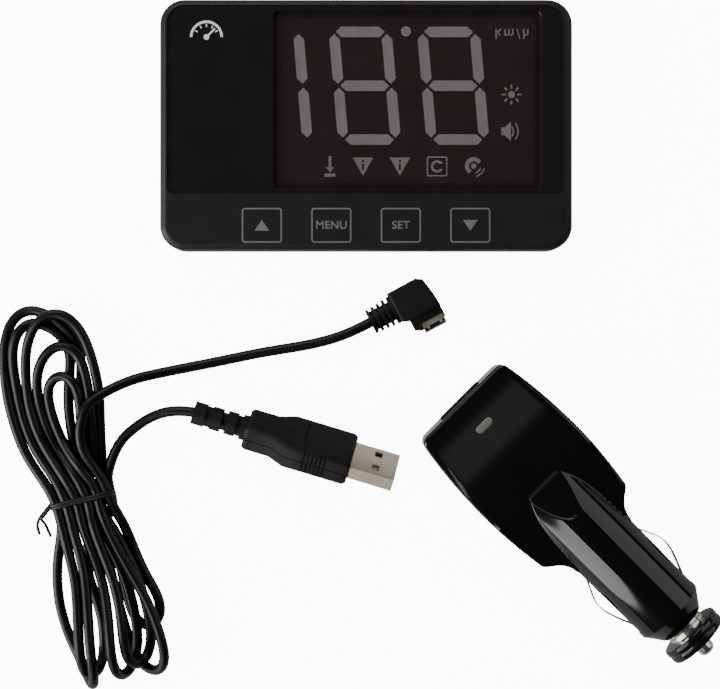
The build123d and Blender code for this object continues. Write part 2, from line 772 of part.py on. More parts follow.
def body_outline():
    """The flat body and its shoulders, seen from above."""
    corner = (BODY_END, BODY_FRONT_HALF)
    shoulder = (BODY_END + 1.4, BODY_FRONT_HALF - 3.0)
    neck = (SHOULDER_END, BARREL_RADIUS)
    one_side = [
        ThreePointArc((0, BODY_REAR_HALF), (BODY_MIDDLE, BODY_MIDDLE_HALF), corner),
        Line(corner, shoulder),
        ThreePointArc(shoulder, (BODY_END + 3.6, BARREL_RADIUS + 0.95), neck),
    ]
    other_side = [mirror(edge, Plane.XZ) for edge in one_side]
    rear = Line((0, -BODY_REAR_HALF), (0, BODY_REAR_HALF))
    front = Line((SHOULDER_END, -BARREL_RADIUS), neck)
    face = make_face([*one_side, *other_side, rear, front])
    corners = [v for v in face.vertices() if v.X < 1 or abs(v.X - BODY_END) < 0.1]
    return fillet(corners, 2.0)


def space_above(line, drop=0.0):
    """All that is above a curve in side view, which can be lowered by some distance."""
    curve = [(x, z - drop) for x, z in line]
    start, end = curve[0], curve[-1]
    top = BARREL_RADIUS + 5
    face = make_face([
        Spline(*curve), Line(end, (end[0], top)), Line((end[0], top), (start[0], top)),
        Line((start[0], top), start),
    ])
    return extrude(Plane.XZ * face, 30, both=True)


def adapter_outside():
    """The flat body, whose top falls to the shoulders, and the barrel that rises out of it."""
    slab = Pos(0, 0, -BARREL_RADIUS) * extrude(body_outline(), BARREL_RADIUS + ADAPTER_TOP)
    slab = fillet(slab.edges().group_by(Axis.Z)[-1], TOP_ROUNDING)
    slab -= space_above(FALLING_TOP)
    start = RISING_CREST[0][0]
    barrel = turned([
        (start, 0), (start, BARREL_RADIUS), (SHOULDER_END, BARREL_RADIUS),
        (BARREL_END, BARREL_FRONT_RADIUS), (TAPER_END, BARREL_MOUTH_RADIUS), (TAPER_END, 0),
    ])
    return slab + (barrel - space_above(RISING_CREST))


def adapter_inside():
    inner = offset(body_outline(), -ADAPTER_WALL)
    cavity = Pos(0, 0, ADAPTER_WALL - BARREL_RADIUS) * extrude(
        inner, BARREL_RADIUS + ADAPTER_TOP - 2 * ADAPTER_WALL
    )
    cavity -= space_above(FALLING_TOP, drop=ADAPTER_WALL)
    cavity += rod(BORE_RADIUS, SEAT_END - 2.5, BARREL_END - 1)
    cavity += rod(COLLAR_RADIUS + PART_GAP, BARREL_END - 2, TAPER_END + 1)
    return cavity


def adapter_shells():
    """The two halves of the case, parted on the level of the axis."""
    body = adapter_outside() - adapter_inside()
    body -= Box(2 * ADAPTER_WALL + 2, *USB_MOUTH)
    body -= lens_outline(ADAPTER_TOP - ADAPTER_WALL - 1, ADAPTER_TOP + 1)
    slot = Box(SPRING_SLOT_END - SPRING_SLOT_START, 6.0, SPRING_SLOT_HEIGHT)
    for side in (-1, 1):
        body -= Pos((SPRING_SLOT_END + SPRING_SLOT_START) / 2, side * 9.6, 0) * slot
    above_axis = Pos(TAPER_END / 2, 0, 25) * Box(TAPER_END + 20, 60, 50)
    return body & above_axis, body - above_axis


def adapter_usb_surround():
    frame = Pos(0.75, 0, 0) * Box(2.5, *USB_MOUTH)
    return adapter_frame() * (frame - Box(6, *USB_OPENING))


def adapter_usb_shell():
    width, height = USB_OPENING
    inside = Box(14.2, width - 2 * SHEET_METAL, height - 2 * SHEET_METAL)
    shell = Pos(7.5, 0, 0) * Box(14.2, width, height)
    return adapter_frame() * (shell - Pos(7.5 - SHEET_METAL, 0, 0) * inside)


def adapter_usb_tongue():
    return adapter_frame() * Pos(8.15, 0, 0.75) * Box(12.3, 11.0, 1.9)


def adapter_board():
    return adapter_frame() * Pos(29.6, 0, -1.0) * Box(29.6, 26, 1.2)


def adapter_inductor():
    ring = post(5.0, -0.4, 4.2, 30, -5) - post(2.0, -0.4, 4.2, 30, -5)
    return adapter_frame() * ring


def adapter_capacitors():
    cans = post(3.1, -0.4, 5.4, 24, 7) + post(2.5, -0.4, 4.0, 36, 6)
    return adapter_frame() * cans


def lens_outline(low, high):
    return Pos(LENS_DISTANCE, 0, low) * extrude(Rot(Z=90) * SlotOverall(*LENS_SIZE), high - low)


def power_lens():
    return adapter_frame() * lens_outline(ADAPTER_TOP - ADAPTER_WALL, ADAPTER_TOP + 0.2)


def power_led():
    return adapter_frame() * Pos(LENS_DISTANCE, 0, 4.9) * Box(1.6, 3.0, 3.6)


def ground_spring(side):
    """A bowed leaf that stands out of the slot in the barrel's side."""
    inner_line = [(x, y - LEAF_THICKNESS) for x, y in LEAF_LINE]
    ends = [Line(LEAF_LINE[end], inner_line[end]) for end in (0, -1)]
    face = make_face([Spline(*LEAF_LINE), Spline(*inner_line), *ends])
    leaf = Pos(0, 0, -LEAF_WIDTH / 2) * extrude(face, LEAF_WIDTH)
    return adapter_frame() * (leaf if side > 0 else mirror(leaf, Plane.XZ))


def contact_collar():
    bore = rod(FLANGE_RADIUS + PART_GAP, COLLAR_START, RING_START)
    return adapter_frame() * (rod(COLLAR_RADIUS, COLLAR_START, RING_START) - bore)


def nose_ring():
    ring = turned([
        (RING_START, 0), (RING_START, RING_RADIUS - 0.7), (RING_START + 0.7, RING_RADIUS),
        (RING_END - 1.4, RING_RADIUS), (RING_END, RING_RADIUS - 1.6), (RING_END, 0),
    ])
    ring -= rod(FLANGE_RADIUS + PART_GAP, RING_START, FLANGE_START + 1.8)
    ring -= rod(TIP_RADIUS + PART_GAP, RING_START, RING_END)
    return adapter_frame() * ring


def tip_contact():
    tip = turned([
        (FLANGE_START, 0), (FLANGE_START, FLANGE_RADIUS), (FLANGE_START + 1.6, FLANGE_RADIUS),
        (FLANGE_START + 1.6, TIP_RADIUS), (TIP_END - 1.0, TIP_RADIUS), (TIP_END, 1.2), (TIP_END, 0),
    ])
    return adapter_frame() * tip


def fuse():
    return adapter_frame() * rod(FUSE_RADIUS, FLANGE_START - FUSE_LENGTH, FLANGE_START)


def tip_spring():
    start = SEAT_END
    length = FLANGE_START - FUSE_LENGTH - start
    coil = Helix(pitch=length / 6, height=length - 0.8, radius=2.6)
    wire = sweep(Plane(origin=coil @ 0, z_dir=coil % 0) * Circle(0.4), path=coil, is_frenet=True)
    return adapter_frame() * Pos(start + 0.4, 0, 0) * Rot(Y=90) * wire


def spring_seat():
    return adapter_frame() * rod(4.6, SEAT_END - 0.5, SEAT_END)


# ------------------------------------------------------------------ the whole set

def display_nodes():
    faces = lit_faces()
    nodes = {
        "non_slip_pad": non_slip_pad(),
        "rear_housing": rear_housing(),
        "front_housing": front_housing(),
        "face_panel": face_panel(),
        "display_window": display_window(),
        "housing_screws": housing_screws(),
        "led_module_housing": led_module_housing(faces),
        "led_chips": led_chips(),
        "key_outlines": key_outlines(),
        "key_labels": key_labels(),
        "gauge_emblem": gauge_emblem(),
        "main_board": main_board(),
        "satellite_antenna": satellite_antenna(),
        "receiver_shield": receiver_shield(),
        "microcontroller": microcontroller(),
        "buzzer": buzzer(),
        "backup_cell": backup_cell(),
        "touch_key_springs": touch_key_springs(),
        "micro_socket_shell": micro_socket_shell(),
        "micro_socket_tongue": micro_socket_tongue(),
    }
    nodes.update({name: lit(face) for name, face in faces.items()})
    return nodes


def lead_nodes():
    return {
        "cord_at_display_end": cord_tube("cord at display end", CORD_AT_DISPLAY_END),
        "cord_at_adapter_end": cord_tube("cord at adapter end", CORD_AT_ADAPTER_END),
        "cord_hank": cord_hank(),
        "cable_tie": cable_tie(),
        "micro_plug_overmould": micro_plug_frame() * micro_plug_overmould(),
        "micro_plug_strain_relief": micro_plug_strain_relief(),
        "micro_plug_shell": micro_plug_shell(),
        "micro_plug_tongue": micro_plug_tongue(),
        "micro_plug_latches": micro_plug_latches(),
        "usb_plug_overmould": usb_plug_overmould(),
        "usb_plug_strain_relief": usb_plug_strain_relief(),
        "usb_plug_shell": usb_plug_shell(),
        "usb_plug_tongue": usb_plug_tongue(),
        "usb_plug_contacts": usb_plug_contacts(),
    }


def adapter_nodes():
    upper, lower = adapter_shells()
    return {
        "adapter_upper_shell": adapter_frame() * upper,
        "adapter_lower_shell": adapter_frame() * lower,
        "adapter_usb_surround": adapter_usb_surround(),
        "adapter_usb_shell": adapter_usb_shell(),
        "adapter_usb_tongue": adapter_usb_tongue(),
        "adapter_board": adapter_board(),
        "adapter_inductor": adapter_inductor(),
        "adapter_capacitors": adapter_capacitors(),
        "power_lens": power_lens(),
        "power_led": power_led(),
        "ground_spring_left": ground_spring(-1),
        "ground_spring_right": ground_spring(1),
        "contact_collar": contact_collar(),
        "nose_ring": nose_ring(),
        "tip_contact": tip_contact(),
        "fuse": fuse(),
        "tip_spring": tip_spring(),
        "spring_seat": spring_seat(),
    }


os.makedirs("parts", exist_ok=True)
for build in (display_nodes, lead_nodes, adapter_nodes):
    for name, shape in build().items():
        export_step(shape, f"parts/{name}.step")
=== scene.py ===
"""The looks of a dash-top speed display with its power lead and 12 V adapter, seen from straight above."""
import json
import math

import bmesh
import bpy
import numpy as np
from mathutils import Matrix, Vector

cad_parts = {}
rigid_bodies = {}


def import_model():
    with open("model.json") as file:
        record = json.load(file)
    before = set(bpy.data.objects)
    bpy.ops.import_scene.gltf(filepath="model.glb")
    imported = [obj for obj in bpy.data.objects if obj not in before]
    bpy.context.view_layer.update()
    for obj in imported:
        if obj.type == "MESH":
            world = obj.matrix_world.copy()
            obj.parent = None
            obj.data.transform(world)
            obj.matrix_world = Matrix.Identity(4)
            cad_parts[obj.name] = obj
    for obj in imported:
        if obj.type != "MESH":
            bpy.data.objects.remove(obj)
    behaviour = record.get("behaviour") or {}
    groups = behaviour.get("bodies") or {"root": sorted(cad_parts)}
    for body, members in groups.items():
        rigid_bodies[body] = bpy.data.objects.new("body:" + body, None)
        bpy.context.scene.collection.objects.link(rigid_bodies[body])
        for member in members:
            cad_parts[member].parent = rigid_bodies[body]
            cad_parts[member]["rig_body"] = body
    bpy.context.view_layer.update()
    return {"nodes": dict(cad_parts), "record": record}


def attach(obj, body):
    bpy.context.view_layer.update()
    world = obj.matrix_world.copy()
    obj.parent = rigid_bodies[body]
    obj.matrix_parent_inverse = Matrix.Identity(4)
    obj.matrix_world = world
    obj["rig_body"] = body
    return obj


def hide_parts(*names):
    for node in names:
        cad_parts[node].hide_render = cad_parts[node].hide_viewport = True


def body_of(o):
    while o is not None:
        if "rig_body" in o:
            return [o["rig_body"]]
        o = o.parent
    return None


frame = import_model()
MM = 0.001

# ------------------------------------------------------------------ camera

CAMERA_PLACE = (-1.7, -61.3)
CAMERA_HEIGHT = 571.0


def make_camera():
    data = bpy.data.cameras.new("camera")
    data.lens = 100
    data.sensor_width = 36
    camera = bpy.data.objects.new("camera", data)
    camera.location = (CAMERA_PLACE[0] * MM, CAMERA_PLACE[1] * MM, CAMERA_HEIGHT * MM)
    bpy.context.scene.collection.objects.link(camera)
    bpy.context.scene.camera = camera


make_camera()

# ------------------------------------------------------------------ the lead's cord, in millimetres

CORD_DIAMETER = 2.95
CORD_RADIUS = CORD_DIAMETER / 2
CORD_AT_DISPLAY_END = [
    (1.3, -55.0, 3.7),
    (-4.8, -58.24, 3.7),
    (-14.6, -61.2, 2.4),
    (-29.0, -63.4, 1.6),
    (-44.2, -66.6, 1.55),
    (-57.8, -69.2, 2.6),
    (-67.6, -71.5, 5.6),
    (-75.2, -74.4, 8.0),
]
CORD_AT_ADAPTER_END = [
    (-48.5, -80.35, 8.1),
    (-53.2, -79.7, 7.6),
    (-59.4, -81.0, 6.2),
    (-65.4, -84.6, 4.9),
    (-70.4, -89.4, 4.3),
    (-74.2, -95.2, 4.1),
]
TIE_CENTRE = (-80.3, -105.1)
TIE_ANGLE = 12.7
FRONT_LEVEL = 5.45
BACK_LEVEL = 2.4
SLOTS = 6
POINT_SPACING = 2.0

# The hank's upper loops, inner to outer: the right leg going up, the top, then the left leg going down
UPPER_LOOPS = [
    [
        (-80.4, -96.0, 4.2), (-80.0, -86.0, 5.2), (-80.4, -77.5, 6.0), (-82.6, -71.6, 5.8),
        (-86.6, -69.4, 4.8), (-90.3, -72.6, 3.4), (-91.2, -78.5, 2.4), (-88.4, -86.0, 2.6),
        (-83.4, -94.5, 4.2),
    ],
    [
        (-77.2, -96.0, 3.4), (-77.7, -84.0, 4.6), (-78.4, -73.0, 5.4), (-80.8, -65.2, 5.4),
        (-86.0, -60.9, 5.2), (-91.2, -64.6, 4.4), (-93.8, -72.0, 3.0), (-92.6, -80.0, 2.2),
        (-88.9, -90.0, 3.0),
    ],
    [
        (-75.6, -96.0, 2.4), (-76.0, -84.0, 3.4), (-76.6, -72.0, 5.2), (-78.8, -61.0, 6.4),
        (-83.2, -54.2, 7.0), (-88.0, -52.1, 7.0), (-93.4, -55.4, 6.0), (-96.3, -63.0, 4.2),
        (-96.3, -73.0, 2.4), (-92.8, -87.0, 2.4),
    ],
    [
        (-82.2, -97.0, 1.7), (-84.0, -86.0, 1.5), (-84.8, -77.0, 1.5), (-84.5, -69.0, 1.5),
        (-84.0, -62.6, 1.6), (-87.0, -58.4, 2.2), (-90.6, -56.2, 3.0), (-95.0, -54.8, 4.2),
        (-98.8, -57.6, 4.2), (-100.4, -64.5, 3.2), (-99.3, -74.2, 1.8), (-95.0, -88.5, 2.4),
    ],
    [
        (-79.4, -97.0, 1.7), (-80.8, -88.0, 1.5), (-81.4, -79.0, 1.5), (-81.2, -70.0, 1.5),
        (-81.4, -63.0, 1.8), (-84.2, -57.8, 3.2), (-88.0, -54.8, 4.0), (-92.6, -52.0, 2.4),
        (-97.4, -51.4, 1.6), (-101.6, -56.0, 1.6), (-103.0, -64.0, 1.6), (-101.9, -75.0, 1.6),
        (-97.2, -91.0, 2.4),
    ],
]
# The lower loops, right to left: the front leg going down, the turn, then the back leg coming up
LOWER_LOOPS = [
    [
        (-69.0, -110.8, 3.6), (-67.6, -117.0, 2.2), (-62.4, -127.6, 1.6), (-58.4, -134.6, 1.5),
        (-58.4, -139.0, 1.5), (-61.4, -142.0, 1.5), (-65.6, -140.0, 1.5), (-68.2, -132.0, 1.5),
        (-70.4, -122.0, 1.5), (-74.0, -113.0, 1.8),
    ],
    [
        (-73.2, -112.3, 6.4), (-69.4, -120.2, 7.6), (-64.6, -128.1, 8.8), (-60.2, -136.0, 10.0),
        (-56.6, -147.0, 10.8), (-56.7, -151.6, 9.0), (-59.6, -153.8, 5.4), (-64.4, -151.6, 2.2),
        (-67.8, -144.0, 1.5), (-71.2, -131.0, 1.5), (-76.2, -114.0, 1.8),
    ],
    [
        (-77.2, -112.3, 7.0), (-74.0, -120.2, 8.8), (-70.6, -128.1, 10.6), (-68.7, -136.0, 12.2),
        (-67.5, -145.0, 13.0), (-66.6, -150.2, 10.8), (-63.8, -151.8, 6.8), (-61.0, -147.6, 4.6),
        (-61.6, -138.0, 4.6), (-66.0, -124.0, 3.6), (-72.8, -112.5, 2.2),
    ],
    [
        (-80.2, -112.3, 6.6), (-76.8, -120.2, 7.8), (-74.0, -128.1, 9.8), (-72.3, -136.0, 12.0),
        (-71.0, -147.6, 14.0), (-70.0, -153.4, 11.4), (-67.6, -154.6, 6.8), (-65.0, -149.6, 4.5),
        (-65.2, -139.0, 4.5), (-69.6, -124.0, 3.4), (-76.2, -112.0, 2.2),
    ],
    [
        (-82.9, -112.3, 7.0), (-80.4, -120.2, 8.6), (-78.6, -128.1, 10.4), (-77.6, -138.0, 12.6),
        (-76.5, -150.0, 14.0), (-76.0, -155.6, 11.2), (-77.4, -157.0, 6.6), (-80.8, -151.4, 2.6),
        (-84.6, -144.0, 1.5), (-87.4, -134.0, 1.5), (-87.8, -122.0, 1.5), (-86.0, -112.0, 1.9),
    ],
    [
        (-85.8, -112.3, 6.4), (-83.8, -120.2, 7.6), (-81.6, -128.1, 9.4), (-80.7, -138.0, 11.4),
        (-79.7, -149.4, 12.6), (-78.6, -154.4, 10.4), (-76.2, -155.0, 6.0), (-74.6, -149.4, 2.6),
        (-75.4, -138.0, 1.5), (-79.6, -122.0, 1.5),
    ],
]
BACK_SLOTS = [3, 2, 4, 1, 0, 5]


def tie_point(slot, level):
    """Where a strand passes through the tie, counted from the left."""
    along = CORD_DIAMETER * (slot - (SLOTS - 1) / 2)
    angle = math.radians(TIE_ANGLE)
    return (TIE_CENTRE[0] + along * math.cos(angle), TIE_CENTRE[1] + along * math.sin(angle), level)


def through_tie(slot, level, going_down):
    """Three points in line across the tie, in the direction of travel."""
    x, y, z = tie_point(slot, level)
    angle = math.radians(TIE_ANGLE)
    reach = 3.5
    above = (x - reach * math.sin(angle), y + reach * math.cos(angle), z)
    below = (x + reach * math.sin(angle), y - reach * math.cos(angle), z)
    return [above, (x, y, z), below] if going_down else [below, (x, y, z), above]


def smooth_line(points, spacing):
    """A Catmull-Rom curve through the points, sampled at an even spacing."""
    p = np.array([points[0], *points, points[-1]], float)
    samples = []
    for i in range(1, len(p) - 2):
        for t in np.linspace(0, 1, 24, endpoint=False):
            samples.append(0.5 * (2 * p[i] + (p[i + 1] - p[i - 1]) * t
                                  + (2 * p[i - 1] - 5 * p[i] + 4 * p[i + 1] - p[i + 2]) * t**2
                                  + (3 * p[i] - p[i - 1] - 3 * p[i + 1] + p[i + 2]) * t**3))
    samples = np.array([*samples, p[-2]])
    along = np.concatenate([[0], np.cumsum(np.linalg.norm(np.diff(samples, axis=0), axis=1))])
    places = np.linspace(0, along[-1], round(along[-1] / spacing) + 1)
    return np.stack([np.interp(places, along, samples[:, k]) for k in range(3)], axis=1)


def hank_points():
    """The way of the cord through the hank, from the display's stretch to the adapter's."""
    points = [(-78.9, -79.0, 8.2), (-80.6, -85.4, 8.2), (-79.7, -92.0, 7.4)]
    for turn, lower in enumerate(LOWER_LOOPS):
        points += through_tie(SLOTS - 1 - turn, FRONT_LEVEL, True)
        points += lower
        points += through_tie(BACK_SLOTS[turn], BACK_LEVEL, False)
        if turn < len(UPPER_LOOPS):
            points += UPPER_LOOPS[turn]
    return points


def settle(line, rounds=300):
    """Strands that run into each other are eased apart, though not always fully, and nothing sinks
    below the floor."""
    start = line.copy()
    wide = CORD_DIAMETER + 0.1
    order = np.arange(len(line))
    for step in range(rounds):
        if step % 20 == 0:
            apart = np.linalg.norm(line[:, None, :] - line[None, :, :], axis=2)
            near, other = np.nonzero((apart < wide + 1.5) & (order[:, None] + 8 < order[None, :]))
        gap = line[near] - line[other]
        distance = np.linalg.norm(gap, axis=1)
        push = 0.22 * (np.clip(wide - distance, 0, None) / np.maximum(distance, 1e-6))[:, None] * gap
        moved = line.copy()
        np.add.at(moved, near, push)
        np.add.at(moved, other, -push)
        bend = np.zeros_like(line)
        bend[1:-1] = (moved[:-2] + moved[2:]) / 2 - moved[1:-1]
        bend[2:-2] -= 0.5 * (bend[1:-3] + bend[3:-1])
        line = moved + 0.3 * bend + 0.02 * (start - moved)
        line[:, 2] = np.maximum(line[:, 2], CORD_RADIUS + 0.03)
        line[:3], line[-3:] = start[:3], start[-3:]
    return line


def cord_points():
    first = CORD_AT_DISPLAY_END
    last = CORD_AT_ADAPTER_END
    hank = settle(smooth_line([first[-2], first[-1], *hank_points(), last[-1], last[-2]], POINT_SPACING))
    from_first = np.linalg.norm(hank - first[-2], axis=1)
    from_last = np.linalg.norm(hank - last[-2], axis=1)
    middle = hank[::2][(from_first > 8)[::2] & (from_last > 6)[::2]]
    return [*first[:-1], *middle, *reversed(last[:-1])], hank


def make_cord():
    points, line = cord_points()
    data = bpy.data.curves.new("lead_cord", "CURVE")
    data.dimensions = "3D"
    data.bevel_depth = 1.0
    data.bevel_resolution = 5
    data.resolution_u = 4
    spline = data.splines.new("NURBS")
    spline.points.add(len(points) - 1)
    for place, point in zip(spline.points, points):
        place.co = (point[0] * MM, point[1] * MM, point[2] * MM, 1)
        place.radius = CORD_RADIUS * MM
    spline.order_u = 3
    spline.use_endpoint_u = True
    cord = bpy.data.objects.new("lead_cord", data)
    bpy.context.scene.collection.objects.link(cord)
    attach(cord, "lead")
    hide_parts("cord_at_display_end", "cord_hank", "cord_at_adapter_end")
    return cord


cord = make_cord()

# ------------------------------------------------------------------ materials


def surface(name, colour, roughness, metallic=0.0, coat=0.0, specular=0.5, variation=0.12, grain=1500.0,
            bump=0.02, wear=0.1):
    """A moulded, printed or metal surface: mottled colour, uneven gloss and a fine grain."""
    material = bpy.data.materials.new(name)
    material.use_nodes = True
    nodes = material.node_tree.nodes
    links = material.node_tree.links
    shader = nodes["Principled BSDF"]
    shader.inputs["Metallic"].default_value = metallic
    shader.inputs["Coat Weight"].default_value = coat
    shader.inputs["Coat Roughness"].default_value = 0.06
    shader.inputs["Specular IOR Level"].default_value = specular
    where = nodes.new("ShaderNodeTexCoord")

    def noise(scale, detail):
        node = nodes.new("ShaderNodeTexNoise")
        node.inputs["Scale"].default_value = scale
        node.inputs["Detail"].default_value = detail
        links.new(where.outputs["Object"], node.inputs["Vector"])
        return node.outputs["Fac"]

    tint = nodes.new("ShaderNodeValToRGB")
    low = [c * (1 - variation) for c in colour]
    high = [min(1.0, c * (1 + variation)) for c in colour]
    tint.color_ramp.elements[0].position = 0.3
    tint.color_ramp.elements[0].color = (*low, 1)
    tint.color_ramp.elements[1].position = 0.7
    tint.color_ramp.elements[1].color = (*high, 1)
    links.new(noise(90.0, 4.0), tint.inputs["Fac"])
    links.new(tint.outputs["Color"], shader.inputs["Base Color"])
    gloss = nodes.new("ShaderNodeMapRange")
    gloss.inputs["To Min"].default_value = roughness * (1 - wear)
    gloss.inputs["To Max"].default_value = min(1.0, roughness * (1 + wear))
    links.new(noise(160.0, 5.0), gloss.inputs["Value"])
    links.new(gloss.outputs["Result"], shader.inputs["Roughness"])
    relief = nodes.new("ShaderNodeBump")
    relief.inputs["Strength"].default_value = bump
    relief.inputs["Distance"].default_value = 0.0002
    links.new(noise(grain, 3.0), relief.inputs["Height"])
    links.new(relief.outputs["Normal"], shader.inputs["Normal"])
    return material


materials = {
    "pad_rubber": surface("pad_rubber", (0.012, 0.012, 0.012), 0.85, bump=0.3),
    "housing_plastic": surface(
        "housing_plastic", (0.016, 0.0135, 0.0142),
        0.42, specular=0.35, bump=0.08, grain=4000,
    ),
    "panel_plastic": surface(
        "panel_plastic", (0.0125, 0.0098, 0.0102),
        0.3, specular=0.3, bump=0.03, grain=4000,
    ),
    "smoked_glass": surface("smoked_glass", (0.041, 0.03, 0.026), 0.06, bump=0.0),
    "screw_steel": surface("screw_steel", (0.35, 0.35, 0.36), 0.35, metallic=1.0),
    "module_black": surface("module_black", (0.008, 0.008, 0.008), 0.6),
    "segment_diffuser": surface("segment_diffuser", (0.85, 0.83, 0.87), 0.55, variation=0.05),
    "symbol_diffuser": surface("symbol_diffuser", (0.8, 0.74, 0.74), 0.55, variation=0.08),
    "led_epoxy": surface("led_epoxy", (0.7, 0.65, 0.4), 0.3),
    "key_print": surface("key_print", (0.19, 0.18, 0.2), 0.5, variation=0.1),
    "white_print": surface("white_print", (0.95, 0.96, 0.97), 0.5, variation=0.03),
    "circuit_board": surface("circuit_board", (0.01, 0.08, 0.03), 0.4),
    "antenna_ceramic": surface("antenna_ceramic", (0.5, 0.42, 0.3), 0.6),
    "tinned_metal": surface("tinned_metal", (0.6, 0.6, 0.6), 0.35, metallic=1.0),
    "component_black": surface("component_black", (0.015, 0.015, 0.015), 0.5),
    "spring_steel": surface("spring_steel", (0.62, 0.61, 0.6), 0.22, metallic=1.0),
    "cord_jacket": surface(
        "cord_jacket", (0.0035, 0.0032, 0.0034),
        0.34, specular=0.34, bump=0.1, grain=900,
    ),
    "tie_plastic": surface("tie_plastic", (0.005, 0.005, 0.005), 0.4),
    "plug_plastic": surface(
        "plug_plastic", (0.012, 0.01, 0.0098),
        0.5, specular=0.22, bump=0.1, grain=3000,
    ),
    "connector_nickel": surface("connector_nickel", (1.0, 0.86, 0.7), 0.34, metallic=1.0, variation=0.06),
    "tongue_white": surface("tongue_white", (0.75, 0.74, 0.7), 0.5),
    "contact_gold": surface("contact_gold", (0.85, 0.62, 0.3), 0.25, metallic=1.0),
    "adapter_gloss": surface(
        "adapter_gloss", (0.0052, 0.004, 0.0036),
        0.055, specular=0.5, bump=0.006, grain=600,
    ),
    "ferrite": surface("ferrite", (0.03, 0.03, 0.03), 0.7),
    "lens_cream": surface("lens_cream", (0.2, 0.19, 0.15), 0.25),
    "contact_nickel": surface("contact_nickel", (0.8, 0.74, 0.66), 0.18, metallic=1.0, variation=0.05),
    "nose_plastic": surface("nose_plastic", (0.0045, 0.0045, 0.0048), 0.12),
    "fuse_glass": surface("fuse_glass", (0.6, 0.65, 0.65), 0.1),
}
GLASS_OPACITY = 0.33
glass = materials["smoked_glass"]
glass.node_tree.nodes["Principled BSDF"].inputs["Alpha"].default_value = GLASS_OPACITY


# ------------------------------------------------------------------ shapes shared by the pieces


def ramp(t):
    """From 0 to 1 with level ends."""
    t = min(1.0, max(0.0, t))
    return t * t * (3 - 2 * t)


def soft_least(a, b, blend):
    """The lesser of two numbers, rounded off where they are close."""
    overlap = max(0.0, blend - abs(a - b)) / blend
    return min(a, b) - overlap * overlap * blend / 4


def soft_most(a, b, blend):
    return -soft_least(-a, -b, blend)


def corner_inset(distance, radius):
    """How far a rounded corner stands back at a distance from its end."""
    left = max(0.0, radius - distance)
    return radius - math.sqrt(radius**2 - left**2)


def new_piece(name, mesh, body, slot, *replaced):
    piece = bpy.data.objects.new(name, mesh)
    bpy.context.scene.collection.objects.link(piece)
    mesh.materials.append(materials[slot])
    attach(piece, body)
    if replaced:
        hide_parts(*replaced)
    return piece


def finished_mesh(name, bm, place, crease):
    """The mesh of a bmesh drawn in millimetres, smooth but for edges sharper than the crease angle."""
    bmesh.ops.recalc_face_normals(bm, faces=bm.faces)
    bm.transform(place)
    mesh = bpy.data.meshes.new(name)
    bm.to_mesh(mesh)
    bm.free()
    mesh.polygons.foreach_set("use_smooth", [True] * len(mesh.polygons))
    mesh.set_sharp_from_angle(angle=math.radians(crease))
    return mesh


def placed(x, y, z, turn=0.0):
    """From millimetres in a piece's own axes to metres in the frame."""
    shift = Matrix.Translation(Vector((x, y, z)) * MM)
    return shift @ Matrix.Rotation(math.radians(turn), 4, "Z") @ Matrix.Scale(MM, 4)


def bridge_rings(bm, rings, closed_way):
    for here, there in zip(rings, rings[1:]):
        count = len(here)
        for j in range(count if closed_way else count - 1):
            k = (j + 1) % count
            bm.faces.new((here[j], here[k], there[k], there[j]))


def lathe(name, profile, place, body, slot, replaced, crease=30, segments=96):
    """A turned piece about the local X axis, from a closed outline of (distance, radius) points."""
    bm = bmesh.new()
    rings = []
    for step in range(segments):
        angle = 2 * math.pi * step / segments
        rings.append([bm.verts.new((x, r * math.cos(angle), r * math.sin(angle))) for x, r in profile])
    bridge_rings(bm, [*rings, rings[0]], True)
    return new_piece(name, finished_mesh(name, bm, place, crease), body, slot, replaced)


def rounded(points, radius, steps=5):
    """An outline with its listed corners rounded: each point is (x, y, round it or not)."""
    outline = []
    for i, (x, y, soft) in enumerate(points):
        if not soft:
            outline.append((x, y))
            continue
        before = Vector(points[i - 1][:2])
        here = Vector((x, y))
        after = Vector(points[(i + 1) % len(points)][:2])
        first = here + (before - here).normalized() * min(radius, (before - here).length / 2)
        last = here + (after - here).normalized() * min(radius, (after - here).length / 2)
        for step in range(steps + 1):
            t = step / steps
            bend = first * (1 - t) ** 2 + here * 2 * t * (1 - t) + last * t**2
            outline.append((bend.x, bend.y))
    return outline


def softened(node, slot, bevel, crease=32):
    """A CAD piece again with its sharp edges broken by a small bevel and its curved faces shaded smooth."""
    source = frame["nodes"][node]
    bm = bmesh.new()
    bm.from_mesh(source.data)
    bmesh.ops.remove_doubles(bm, verts=bm.verts, dist=2e-7)
    mesh = bpy.data.meshes.new("soft_" + node)
    bm.to_mesh(mesh)
    bm.free()
    if "custom_normal" in mesh.attributes:
        mesh.attributes.remove(mesh.attributes["custom_normal"])
    mesh.polygons.foreach_set("use_smooth", [True] * len(mesh.polygons))
    mesh.set_sharp_from_angle(angle=math.radians(crease))
    piece = new_piece("soft_" + node, mesh, body_of(source)[0], slot, node)
    edge = piece.modifiers.new("edge", "BEVEL")
    edge.width = bevel * MM
    edge.segments = 2
    edge.limit_method = "ANGLE"
    edge.angle_limit = math.radians(40)
    edge.use_clamp_overlap = True
    edge.harden_normals = True
    return piece


# ------------------------------------------------------------------ the adapter

